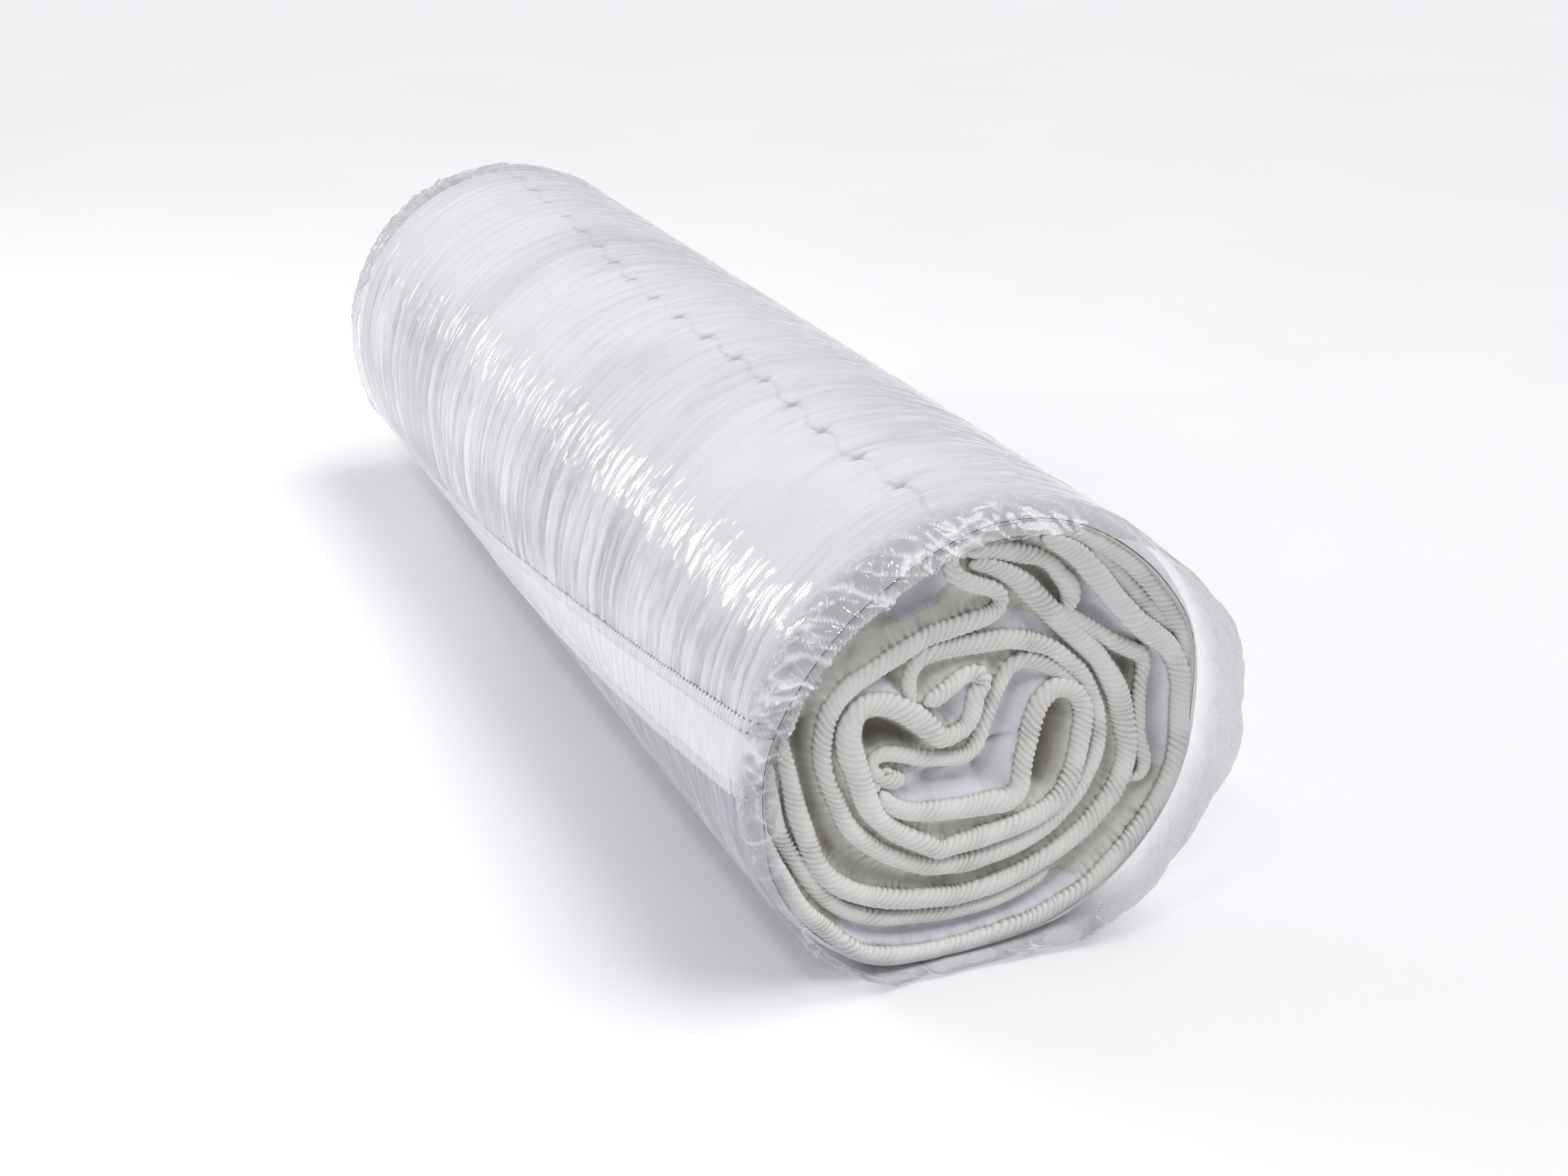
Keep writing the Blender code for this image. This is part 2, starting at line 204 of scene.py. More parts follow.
def noise(a, b, seed):
    """Smooth noise from -1 to 1 over a plane, with one cell for each unit."""
    a, b = np.broadcast_arrays(np.asarray(a, float), np.asarray(b, float))
    i, j = np.floor(a).astype(np.int64), np.floor(b).astype(np.int64)
    p, q = ease(a - i), ease(b - j)

    def corner(i, j):
        h = (i * 374761393 + j * 668265263 + seed * 1442695041) & 0xFFFFFFFF
        h = ((h ^ (h >> 13)) * 1274126177) & 0xFFFFFFFF
        return ((h ^ (h >> 16)) & 0xFFFF) / 32767.5 - 1

    low = corner(i, j) * (1 - p) + corner(i + 1, j) * p
    high = corner(i, j + 1) * (1 - p) + corner(i + 1, j + 1) * p
    return low * (1 - q) + high * q


def waver(a, seed):
    """Smooth noise along a line."""
    return noise(a, 0.5, seed)


def crease(a, b, seed, sharpness=3):
    """Thin lines, 1 along each and falling to 0 beside it."""
    return (1 - np.abs(noise(a, b, seed))) ** sharpness


def spline(points, x):
    """A smooth curve through rows of (x, value, ...), read at an array of x."""
    rows = np.array(points, float)
    at, values = rows[:, 0], rows[:, 1:]
    i = np.clip(np.searchsorted(at, x, side="right") - 1, 0, len(at) - 2)
    before, after = np.maximum(i - 1, 0), np.minimum(i + 2, len(at) - 1)
    step = (at[i + 1] - at[i])[..., None]
    t = (x - at[i])[..., None] / step
    start = (values[i + 1] - values[before]) / (at[i + 1] - at[before])[..., None] * step
    end = (values[after] - values[i]) / (at[after] - at[i])[..., None] * step
    return (
        (2 * t**3 - 3 * t**2 + 1) * values[i]
        + (t**3 - 2 * t**2 + t) * start
        + (3 * t**2 - 2 * t**3) * values[i + 1]
        + (t**3 - t**2) * end
    )


def pair(a, b):
    """Two arrays side by side on a new last axis."""
    return np.stack(np.broadcast_arrays(a, b), -1)


def ray(angle):
    """The direction at an angle from the roll's axis, as (x, z)."""
    return pair(np.cos(np.radians(angle)), np.sin(np.radians(angle)))


def right_of(run):
    """The directions to the right of those in run."""
    return np.stack([run[..., 1], -run[..., 0]], -1)


def unit(run):
    """The directions of run, each 1 long."""
    return run / np.maximum(np.linalg.norm(run, axis=-1, keepdims=True), 1e-9)


def round_at(angle):
    """How far round the roll an angle is, in metres over its outside."""
    return np.radians(angle) * ROLL_RADIUS


def to_floor(angle, inset=0):
    """How far down the floor is from the roll's axis at an angle, less inset."""
    return (AXIS_HEIGHT - inset) / np.maximum(-np.sin(np.radians(angle)), 1e-6)


def hull(angle, inset):
    """Radius of the roll's outside at an angle, less inset: a circle with a flat underside."""
    return np.minimum(ROLL_RADIUS - inset, to_floor(angle, inset))


def tip(y):
    """The angle round the roll of the slab's outer end, which lies askew."""
    return TIP + TIP_SKEW * (y / MATTRESS_WIDTH + 0.5)


def angle_of(u, y):
    """The angle round the roll of each column. Near the tip the columns lie askew with it."""
    past = (u - TIP + 180) % 360 - 180
    follow = np.where(past < 0, ease((past + 170) / 155), 1 - ease((past - 20) / 100))
    return np.where(u > SKEW_END, u, u + (tip(y) - TIP) * follow)


def inner_radius(angle, y):
    """Radius of the slab's inner face."""
    radius = spline(INNER_FACE, np.clip(angle, TIP, 1125))[..., 0]
    leaf = LEAF_DEPTH + LEAF_GROWTH * (angle - tip(y))
    return np.where(angle > TIP + 200, radius, np.maximum(radius, hull(angle, FILM_INSET) - leaf))


def outer_radius(angle, y):
    """Radius of its outer face, which slopes up from the tip and dives under it a turn later."""
    surface = hull(angle, FILM_INSET)
    past = angle - tip(y)
    ramp = surface - 0.0035 * (1 - ease(past / TIP_RAMP))
    under = inner_radius(np.maximum(angle - 360, tip(y)), y) - TURN_GAP
    dip = 0.0024 * ease((past - 360 + DIVE) / DIVE)
    dived = surface - dip + (under - surface + dip) * ease((past - 359.0) / 1.5)
    return np.where(past < TIP_RAMP, ramp, dived)


def core_faces(u):
    """Both faces in the middle of the roll, where the slab follows CORE."""
    rows = [(WRAPPED + 2 * CORE_STEP * i, *row) for i, row in enumerate(CORE)]
    u = np.clip(u, WRAPPED, SLAB_END)
    middle = spline(rows, u)
    run = (spline(rows, u + 0.5) - spline(rows, u - 0.5))[..., :2]
    run = np.where((u <= WRAPPED)[..., None], (0.0, 1.0), run)
    across = right_of(run)
    across *= middle[..., 2:] / 2 / np.linalg.norm(across, axis=-1, keepdims=True)
    return middle[..., :2] + across, middle[..., :2] - across


def faces_of(u, y):
    """The (x, z) of the slab's outer and inner face at each place, from the roll's axis."""
    u, y = np.broadcast_arrays(np.asarray(u, float), np.asarray(y, float))
    angle = angle_of(u, y)
    outer = ray(angle) * outer_radius(angle, y)[..., None]
    inner = ray(angle) * inner_radius(angle, y)[..., None]
    first, last = BUCKLE[0][0], BUCKLE[-1][0]
    buckled = ((first < u) & (u < last))[..., None]
    inner = np.where(buckled, spline(BUCKLE, np.clip(u, first, last)), inner)
    core_outer, core_inner = core_faces(u)
    wrapped = (u < WRAPPED)[..., None]
    return np.where(wrapped, outer, core_outer), np.where(wrapped, inner, core_inner)


def face_of(u, y, share):
    """The (x, z) at a share of the slab's depth, 0 on its outer face and 1 on its inner face."""
    outer, inner = faces_of(u, y)
    return outer + (inner - outer) * np.asarray(share, float)[..., None]


def outward(u, y, share):
    """Which way the face looks, out of the roll, as (x, z)."""
    return unit(right_of(face_of(u + 0.4, y, share) - face_of(u - 0.4, y, share)))


def raised(u, y, share, height):
    """The (x, z) of a surface at a height over the face, towards the roll's outside."""
    return face_of(u, y, share) + outward(u, y, share) * height[..., None]


def walk(y, share, start, end, step):
    """Columns about step apart along the slab, and how far along it each one is."""
    dense = np.append(np.arange(start, end, 0.25), end)
    runs = np.linalg.norm(np.diff(face_of(dense, y, share), axis=0), axis=1)
    along = np.concatenate([[0], np.cumsum(runs)])
    at = np.linspace(0, along[-1], max(2, round(along[-1] / step) + 1))
    return np.interp(at, along, dense), at


def along_slab(u, y, share):
    """How far along the slab each column of u is, in metres, at one y."""
    dense = np.arange(TIP, SLAB_END + 1, 0.5)
    runs = np.linalg.norm(np.diff(face_of(dense, y, share), axis=0), axis=1)
    return np.interp(u, dense, np.concatenate([[0], np.cumsum(runs)]))


def points_at(xz, y):
    """World points from (x, z) about the roll's axis and y."""
    y = np.broadcast_to(y, xz.shape[:-1])
    return np.stack([xz[..., 0], y, xz[..., 1] + AXIS_HEIGHT], -1)


# Meshes


def grid_faces(rows, columns, first=0, closed=False):
    """Quads over a grid of points, rows of columns. closed joins each row's last column to its first."""
    i = np.arange(rows - 1)[:, None] * columns
    k = np.arange(columns if closed else columns - 1)[None, :]
    after = (k + 1) % columns
    quads = np.stack([i + k, i + after, i + columns + after, i + columns + k], -1)
    return (quads.reshape(-1, 4) + first).tolist()


def tube_faces(rows, sides, first=0):
    """Quads round a tube of points, and a flat cap at each of its ends."""
    last = first + (rows - 1) * sides
    caps = [tuple(first + k for k in range(sides))[::-1], tuple(last + k for k in range(sides))]
    return grid_faces(rows, sides, first, closed=True) + caps


def zip_faces(fine, coarse, matches):
    """Triangles between a fine row of point numbers and a coarse one.

    matches gives, for each coarse point, the place of its fine point.
    """
    fine, coarse, matches = fine.tolist(), coarse.tolist(), matches.tolist()
    faces = []
    for j in range(len(coarse) - 1):
        a, b = matches[j], matches[j + 1]
        middle = (a + b) // 2
        faces += [(fine[k], fine[k + 1], coarse[j]) for k in range(a, middle)]
        faces.append((coarse[j], fine[middle], coarse[j + 1]))
        faces += [(fine[k], fine[k + 1], coarse[j + 1]) for k in range(middle, b)]
    return faces


def add_piece(name, points, faces, place, finish, marks=None):
    """A smooth mesh that rides on the frame and stands for its CAD node.

    place is each point's spot on the cloth in metres, kept as UVs; marks are more numbers for the material.
    """
    mesh = bpy.data.meshes.new(name)
    mesh.from_pydata(np.asarray(points, float).reshape(-1, 3), [], faces)
    corners = np.zeros(len(mesh.loops), np.int32)
    mesh.loops.foreach_get("vertex_index", corners)
    layer = mesh.uv_layers.new(name="UVMap")
    layer.data.foreach_set("uv", np.asarray(place, np.float32).reshape(-1, 2)[corners].ravel())
    for label, values in (marks or {}).items():
        kept = mesh.attributes.new(label, "FLOAT", "POINT")
        kept.data.foreach_set("value", np.asarray(values, np.float32).ravel())
    mesh.validate()
    mesh.shade_smooth()
    mesh.materials.append(finish)
    made = bpy.data.objects.new(name + "_soft", mesh)
    bpy.context.scene.collection.objects.link(made)
    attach(made, "root")
    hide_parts(name)
    return made


def flip(faces):
    return [tuple(reversed(face)) for face in faces]


# Materials


def new_material(name):
    """A material, its node tree and its own shader node."""
    made = bpy.data.materials.new(name)
    made.use_nodes = True
    return made, made.node_tree, made.node_tree.nodes["Principled BSDF"]


def feed(tree, socket, value):
    """Sets a socket to a value, or links it to another node's output."""
    if isinstance(value, bpy.types.NodeSocket):
        tree.links.new(value, socket)
    else:
        socket.default_value = value


def add_node(tree, kind, **settings):
    """A new node. settings are for its inputs by name, or else for its properties."""
    made = tree.nodes.new("ShaderNode" + kind)
    for key, value in settings.items():
        if key in made.inputs:
            feed(tree, made.inputs[key], value)
        else:
            setattr(made, key, value)
    return made


def chained(tree, kind, output, values, **settings):
    """The output of a new node whose inputs are fed in order."""
    made = add_node(tree, kind, **settings)
    for socket, value in zip(made.inputs, values):
        feed(tree, socket, value)
    return made.outputs[output]


def maths(tree, operation, *values):
    return chained(tree, "Math", "Value", values, operation=operation)


def mixed(tree, share, first, second):
    """A shader between two others."""
    return chained(tree, "MixShader", "Shader", (share, first, second))


def mark(tree, name):
    """One of the piece's marks."""
    return add_node(tree, "Attribute", attribute_name=name).outputs["Fac"]


def texture(tree, kind, scale, **settings):
    """A texture over the cloth. scale is how many of its cells fit in a metre, along the slab and across."""
    where = add_node(tree, "TexCoord").outputs["UV"]
    stretch = add_node(tree, "Mapping", Vector=where, Scale=(*scale, 1))
    made = add_node(tree, "Tex" + kind, Vector=stretch.outputs["Vector"], Scale=1.0, **settings)
    return made.outputs["Fac" if kind == "Noise" else "Distance"]


def tint(tree, amount, dark, light):
    """A colour between dark and light, by an output that runs from 0 to 1."""
    ramp = add_node(tree, "ValToRGB", Fac=amount)
    for element, place, colour in zip(ramp.color_ramp.elements, (0.3, 0.72), (dark, light)):
        element.position, element.color = place, (*colour, 1)
    return ramp.outputs["Color"]


def bump(tree, height, distance, strength, before=None):
    made = add_node(tree, "Bump", Distance=distance, Strength=strength, Height=height)
    if before is not None:
        feed(tree, made.inputs["Normal"], before)
    return made.outputs["Normal"]


def cloth(name, dark, light, painted_shade, knit, gathers, roughness, sheen=0.15):
    """Knitted or woven cloth: soft uneven colour, fine stitches, and fine gathers along one direction.

    knit is (stitches in a metre along, across, depth) and gathers is the same for the gathers. The third
    colour is painted shade, mixed in by the piece's shade mark where its folds, recesses and shaded sides
    lie.
    """
    made, tree, shader = new_material(name)
    top = tint(tree, texture(tree, "Noise", (14, 14), Detail=4.0), dark, light)
    # Painted shade: the cloth darkens towards this colour wherever the mark says it lies in shade.
    shaded = add_node(tree, "Mix", data_type="RGBA", Factor=mark(tree, "painted_shade"), A=top, B=(*painted_shade, 1))
    folds = bump(tree, texture(tree, "Noise", gathers[:2], Detail=3.0), gathers[2], 0.8)
    stitches = bump(tree, texture(tree, "Voronoi", knit[:2]), knit[2], 0.5, folds)
    for key, value in (
        ("Base Color", shaded.outputs["Result"]), ("Normal", stitches), ("Roughness", roughness),
        ("Sheen Weight", sheen), ("Sheen Roughness", 0.5), ("Specular IOR Level", 0.25),
    ):
        feed(tree, shader.inputs[key], value)
    return made


def foam_material(name, dark, light):
    """Foam: fine open cells, a little uneven in colour."""
    made, tree, shader = new_material(name)
    colour = tint(tree, texture(tree, "Noise", (30, 30), Detail=5.0), dark, light)
    cells = bump(tree, texture(tree, "Voronoi", (900, 900)), 0.0008, 0.9)
    for key, value in (("Base Color", colour), ("Normal", cells), ("Roughness", 0.95)):
        feed(tree, shader.inputs[key], value)
    return made


def film_material():
    """Clear glossy film, milkier where slack. Its creases are white: stress whitening and painted glints."""
    made, tree, shader = new_material("clear_film")
    tree.nodes.remove(shader)
    slack, white = mark(tree, "slack"), (1, 1, 1, 1)
    streaks = bump(tree, texture(tree, "Noise", (26, 190), Detail=1.5), 0.0014, 1.0)
    swells = bump(tree, texture(tree, "Noise", (60, 110), Detail=0.0), 0.0018, 1.0, streaks)
    shade = add_node(
        tree, "Mix", data_type="RGBA", Factor=slack, A=(0.985, 0.985, 0.99, 1), B=(0.70, 0.705, 0.73, 1),
    )
    through = add_node(tree, "BsdfTransparent", Color=shade.outputs["Result"])
    gloss = add_node(tree, "BsdfGlossy", Color=white, Roughness=0.045, Normal=swells)
    glow = add_node(tree, "BsdfGlossy", Color=white, Roughness=0.36)
    shine = mixed(tree, 0.22, gloss.outputs["BSDF"], glow.outputs["BSDF"])
    steep = maths(tree, "POWER", add_node(tree, "LayerWeight", Blend=0.5).outputs["Facing"], 4.0)
    clear = mixed(tree, maths(tree, "MULTIPLY_ADD", steep, 0.75, 0.055), through.outputs["BSDF"], shine)
    milk = add_node(tree, "BsdfDiffuse", Color=(0.93, 0.93, 0.95, 1))
    # The crease mark mixes in white: the film's stress whitening, and painted glints along its creases.
    haze = maths(tree, "MULTIPLY_ADD", slack, 0.07, mark(tree, "crease"))
    whole = mixed(tree, haze, clear, milk.outputs["BSDF"])
    feed(tree, tree.nodes["Material Output"].inputs["Surface"], whole)
    return made


def floor_material():
    made, tree, shader = new_material("pale_floor")
    where = add_node(tree, "TexCoord").outputs["Object"]
    grain = add_node(tree, "TexNoise", Scale=3.0, Vector=where).outputs["Fac"]
    colour = tint(tree, grain, (0.90, 0.90, 0.91), (0.92, 0.92, 0.93))
    for key, value in (("Base Color", colour), ("Roughness", 0.9), ("Specular IOR Level", 0.1)):
        feed(tree, shader.inputs[key], value)
    return made


# The knitted cover

# Where the row of dents runs along the top of the roll: y, then angle.
DENT_LINE = ((-0.495, 101.5), (-0.353, 102.8), (-0.204, 100.0), (-0.092, 99.8), (0.034, 99.0), (0.221, 93.4),
             (0.430, 89.8), (0.495, 89.0))
DENT_STEP = 0.0545


def dents(angle, y):
    """The row of comma-shaped dents that the sewing leaves, joined by a shallow wave."""
    line = spline(DENT_LINE, np.clip(y, -0.495, 0.495))[..., 0]
    phase = y / DENT_STEP + 0.15 * waver(y / 0.11, 71)
    tooth = phase - np.round(phase)
    aside = (angle - line) * math.radians(1) * ROLL_RADIUS
    wave = 0.0035 * np.sin(math.tau * phase) + 0.001 * waver(y / 0.02, 72)
    groove = bell((aside - wave) / 0.0017) * (0.28 + 0.45 * bell(tooth / 0.2))
    hook = bell((tooth * DENT_STEP + 0.30 * aside) / 0.0026) * bell((aside + 0.001) / 0.0055)
    fan = crease(y / 0.011, angle / 14, 73, 4) * bell(aside / 0.035) * 0.25
    return -0.0019 * groove - 0.0027 * hook - 0.0012 * fan


def dents_column(ys):
    """The column of the outer turn where the row of dents lies, at each y."""
    line = 360 + spline(DENT_LINE, np.clip(ys, -0.495, 0.495))[..., 0]
    columns = np.arange(400, 480, 0.5)
    return np.array([np.interp(at, angle_of(columns, y), columns) for at, y in zip(line, ys)])


def drift_of(round_it, y):
    """y, less a drift that turns the wrinkles a little askew. round_it is how far round a place is."""
    return y + 0.05 * round_it + 0.006 * noise(round_it / 0.09, y / 0.06, 1)


def cover_wrinkles(angle, y):
    """Height of the outer turn's surface: wrinkles that run round the roll, strongest low on its sides."""
    round_it = round_at(angle)
    past_end = (angle - tip(y)) % 360
    low_left = ease((angle % 360 - 128) / 60) * (1 - 0.8 * ease((angle % 360 - 235) / 60))
    low_left = low_left * (1 - ease((angle % 360 - 290) / 70))
    strength = 0.22 + 0.78 * low_left
    after_edge = np.exp(-np.maximum(past_end - TIP_RAMP - 2, 0) / 22)
    before_edge = np.exp(-np.maximum(360 - past_end, 0) / 7)
    strength = strength + 0.5 * after_edge + 0.35 * before_edge
    drift = drift_of(round_it, y)
    long_folds = noise(drift / 0.012, round_it / 0.14, 2)
    folds = crease(drift / 0.0068, round_it / 0.085, 3, 3)
    fine = crease(drift / 0.0040, round_it / 0.05, 4, 2)
    swell = noise(y / 0.10, round_it / 0.12, 5) + 0.5 * noise(y / 0.045, round_it / 0.09, 6)
    teeth = crease(y / 0.0068, 0.5, 7, 2) * (after_edge**3 + 0.8 * before_edge)
    height = 0.0011 * long_folds * strength - 0.0024 * folds * strength - 0.0011 * fine * strength
    return height + 0.0006 * swell - 0.0009 * teeth - 0.0008


def outside_panel(finish):
    """The cover's outside: a fine outer turn, zipped to coarser turns inside the roll."""
    rows, edge = 640, 48
    even = np.linspace(-1, 1, rows + 1)
    ys = BEAD_MIDDLE * (1.12 * even - 0.12 * even**9)
    row_of_dents, beside = 360 + 93, 8.5
    dive, end = 360 + TIP - DIVE - 2, 360 + TIP - 3
    fine_u = np.concatenate([
        np.arange(TOP_TAPE + 0.15, row_of_dents - beside, 3.8),
        np.arange(row_of_dents - beside, row_of_dents + beside, 0.45),
        np.arange(row_of_dents + beside, dive, 2.5),
        np.arange(dive, end, 1.3),
        np.arange(end, end + 9, 0.4),
    ])
    # The close columns follow the row of dents.
    follow = ease((fine_u - 250) / 150) * (1 - ease((fine_u - row_of_dents - beside) / 42))
    u = fine_u[:, None] + follow[:, None] * (dents_column(ys) - row_of_dents)
    y = ys[None, :]
    angle = angle_of(u, y)
    fade = ease((BEAD_MIDDLE - np.abs(y)) / 0.02)
    height = (cover_wrinkles(angle, y) + dents(angle % 360, y)) * fade - 0.0006 * (1 - fade)
    hidden = ease((u - 360 - TIP + DIVE + 2) / DIVE)
    height = height * (1 - 0.7 * hidden)
    height = np.where(height < 0, DEEPEST_FOLD * np.tanh(height / DEEPEST_FOLD), height)
    # Painted shade: darker in the deepest folds, over the low flank that faces away from the light, and in
    # comb-like lines beside the foot band.
    low = ease((angle % 360 - 148) / 45) * (1 - ease((angle % 360 - 255) / 30))
    turned = (u - 360 * (u > 360 + RAMP_TOP) - RAMP_TOP) % 360
    by_band = np.exp(-turned / 16) + np.exp(-np.maximum(346 - turned, 0) / 9)
    comb_shade = crease(y / 0.0058 + turned / 40, turned / 30, 8, 2) * by_band * fade
    painted_shade = np.clip((-0.0011 - height) / 0.0020 + 0.36 * low + comb_shade, 0, 1).ravel()
    xz = shoulder(raised(u, y, 0, height), u, y)
    fine_points = points_at(xz, y * recessed(u)).reshape(-1, 3)
    fine_place = pair(along_slab(u, 0, 0), y).reshape(-1, 2)
    faces = grid_faces(len(fine_u), rows + 1)

    at_edge = np.arange(0, edge, 6)
    picks = np.concatenate([at_edge, np.linspace(edge, rows - edge, 14), rows - at_edge])
    picks = np.unique(np.round(picks).astype(int))
    inner_u = walk(0, 0, fine_u[-1], END_TAPE - 0.5, 0.0018)[0][1:]
    u, y = inner_u[:, None], ys[picks][None, :]
    xz = raised(u, y, 0, gathers(u, y, 0, 31))
    first = len(fine_points)
    points = np.concatenate([fine_points, points_at(xz, y * recessed(u)).reshape(-1, 3)])
    place = np.concatenate([fine_place, pair(along_slab(u, 0, 0), y).reshape(-1, 2)])
    faces += grid_faces(len(inner_u), len(picks), first)
    last_fine = (len(fine_u) - 1) * (rows + 1) + np.arange(rows + 1)
    faces += zip_faces(last_fine, first + np.arange(len(picks)), picks)
    # The turns inside the roll get an even painted shade.
    painted_shade = np.append(painted_shade, np.full(len(points) - first, 0.5))
    return add_piece("cover_outside_panel", points, flip(faces), place, finish, {"painted_shade": painted_shade})


def shoulder(xz, u, y):
    """A surface drawn in to the rim at both ends of the roll."""
    over = np.clip((np.abs(y) - (HALF - SHOULDER)) / (BEAD_MIDDLE - HALF + SHOULDER), 0, 1)
    drawn = 1 - np.sqrt(np.maximum(1 - over**2, 0))
    share = rim_radius(angle_of(u, y)) / np.linalg.norm(xz, axis=-1)
    return xz * (1 - np.maximum(1 - share, 0) * drawn)[..., None]


def recessed(u):
    """How much narrower the turns inside the roll are, so that they end behind the cloth at its two ends."""
    return 1 - RECESS / HALF * ease((u - 361.5 - TIP) / 3)


def gathers(u, y, share, seed):
    """Height of the gathers that the sewn edge pulls into the cover beside it, inward only."""
    side = np.where(y < 0, -1.0, 1.0)
    away = HALF - np.abs(y)
    along = along_slab(u, 0, share)
    pleats = 0.5 + 0.5 * np.cos(math.tau * (along / PUCKER + 0.35 * noise(along / 0.021, side, seed)))
    pleats = pleats * np.exp(-away / 0.014)
    soft = crease(along / 0.018, away / 0.08, seed + 1, 3) * np.exp(-away / 0.10)
    height = 0.0007 * pleats + 0.0012 * soft
    return -height if share == 0 else height


def inside_panel(finish, cloth_parts):
    """The cover's inside, and the knitted cloth that shows between the beads at the two ends of the roll."""
    ends = np.concatenate([np.linspace(0, 0.036, 10), np.linspace(0.044, 0.16, 10)])
    ys = np.concatenate([-BEAD_MIDDLE + ends, np.linspace(-0.25, 0.25, 7), (BEAD_MIDDLE - ends)[::-1]])
    columns, _ = walk(0, 1, TIP_TAPE + 0.15, END_TAPE - 0.5, 0.0015)
    u, y = columns[:, None], ys[None, :]
    xz = raised(u, y, 1, gathers(u, y, 1, 41))
    place = pair(along_slab(u, 0, 1), y).reshape(-1, 2)
    faces = grid_faces(len(columns), len(ys))
    points = points_at(xz, y * (1 - RECESS / HALF)).reshape(-1, 3)
    # Painted shade: the cover's inside lies in shade within the roll.
    painted_shade = np.full(len(points), 0.8)
    for part in cloth_parts:
        some, spots, painted_shades, quads = only_used(part, part[4], len(points))
        points, place = np.concatenate([points, some]), np.concatenate([place, spots])
        painted_shade = np.concatenate([painted_shade, painted_shades])
        faces += quads
    return add_piece("cover_inside_panel", points, faces, place, finish, {"painted_shade": painted_shade})


# The ends of the roll: sewn edges, and the cloth between them


def rim_radius(angle):
    """Radius of the cover where it ends, at an angle round the roll."""
    return np.minimum(spline(RIM, np.asarray(angle, float) % 360)[..., 0], hull(angle, 0.0016))


def line_of(path, step):
    """Points about step apart on a smooth line through rows of x, z and width: place, width, along."""
    rows = np.array(path, float) / 1000
    runs = np.linalg.norm(np.diff(rows[:, :2], axis=0), axis=1)
    at = np.concatenate([[0], np.cumsum(runs)])
    along = np.linspace(0, at[-1], round(at[-1] / step) + 1)
    found = spline(np.column_stack([at, rows]), along)
    return found[:, :2], found[:, 2], along


def pucker_phase(along, seed):
    return along / PUCKER + 0.8 * waver(along / 0.016, seed) + 0.35 * waver(along / 0.006, seed + 50)


def bead(side, path, depth, seed, first):
    """A rolled, puckered edge over one end of the roll: its points, faces and spots on the cloth."""
    middle, width, along = line_of(path, 0.00065)
    across = right_of(unit(np.gradient(middle, axis=0)))
    to_end = np.minimum(along, along[-1] - along)
    taper = np.sqrt(1 - (1 - np.clip(to_end / 0.008, 0.003, 1)) ** 2)
    width = width * taper * (1 + 0.09 * waver(along / 0.028, seed) + 0.05 * waver(along / 0.010, seed + 1))
    middle = middle + across * (0.0009 * waver(along / 0.022, seed + 2))[:, None]
    sunk = depth + 0.0014 * waver(along / 0.045, seed + 3) + 0.0006 * waver(along / 0.014, seed + 6)
    sides = 16
    turn = math.tau * np.arange(sides) / sides
    lean = 1.0 * np.cos(turn) + 0.15 * np.sin(turn)
    phase = pucker_phase(along, seed + 4)[:, None] + lean
    ribs = 0.5 - 0.5 * np.cos(math.tau * phase)
    strength = np.clip(0.34 + 0.42 * waver(along / 0.013, seed + 5), 0.06, 1)
    swell = (ribs**0.8 - 0.75) * (PUCKER_DEPTH * taper**4 * strength)[:, None]
    # Painted shade in the valleys between puckers, and on the side of the bead that faces into the roll.
    painted_shade = (1 - ribs) ** 2 * (taper * (0.08 + 0.62 * strength))[:, None]
    painted_shade = painted_shade + 0.9 * np.clip(0.35 - np.sin(turn), 0, 1)
    flat = np.sign(np.cos(turn)) * np.abs(np.cos(turn)) ** 0.9
    xz = middle[:, None, :] + across[:, None, :] * ((width[:, None] / 2 + swell) * flat)[..., None]
    reach = np.minimum(BEAD_REACH, 0.48 * width)[:, None]
    y = side * (HALF - 0.0060 - np.maximum(sunk, 0)[:, None] + np.sin(turn) * (reach + swell))
    place = pair(along[:, None], turn / math.tau * 0.030)
    faces = tube_faces(len(along), sides, first)
    faces = flip(faces) if side > 0 else faces
    return points_at(xz, y).reshape(-1, 3), faces, place.reshape(-1, 2), np.clip(painted_shade, 0, 1).ravel()


def beads(name, side, paths, finish, seed):
    """All the beads of one face of the slab, over one end of the roll."""
    points, faces, place, painted_shade = [], [], [], []
    for i, (depth, path) in enumerate(paths):
        first = sum(len(p) for p in points)
        some, more, spots, painted_shades = bead(side, path, depth / 1000, seed + 10 * i, first)
        points.append(some)
        faces += more
        place.append(spots)
        painted_shade.append(painted_shades)
    marks = {"painted_shade": np.concatenate(painted_shade)}
    made = add_piece(name, np.concatenate(points), faces, np.concatenate(place), finish, marks)


def inside_of(corners, x, z):
    """Whether each point lies in a polygon with corners in millimetres."""
    found = np.zeros(x.shape, bool)
    rows = np.array(corners, float) / 1000
    for (x0, z0), (x1, z1) in zip(rows, np.roll(rows, -1, axis=0)):
        crosses = (z0 > z) != (z1 > z)
        at = x0 + (x1 - x0) * (z - z0) / (z1 - z0 if z1 != z0 else 1)
        found ^= crosses & (x < at)
    return found


def softened(values, times):
    """A grid blurred a little, over its neighbours."""
    for _ in range(times):
        values = (np.roll(values, 1, 0) + np.roll(values, -1, 0) + 2 * values) / 4
        values = (np.roll(values, 1, 1) + np.roll(values, -1, 1) + 2 * values) / 4
    return values


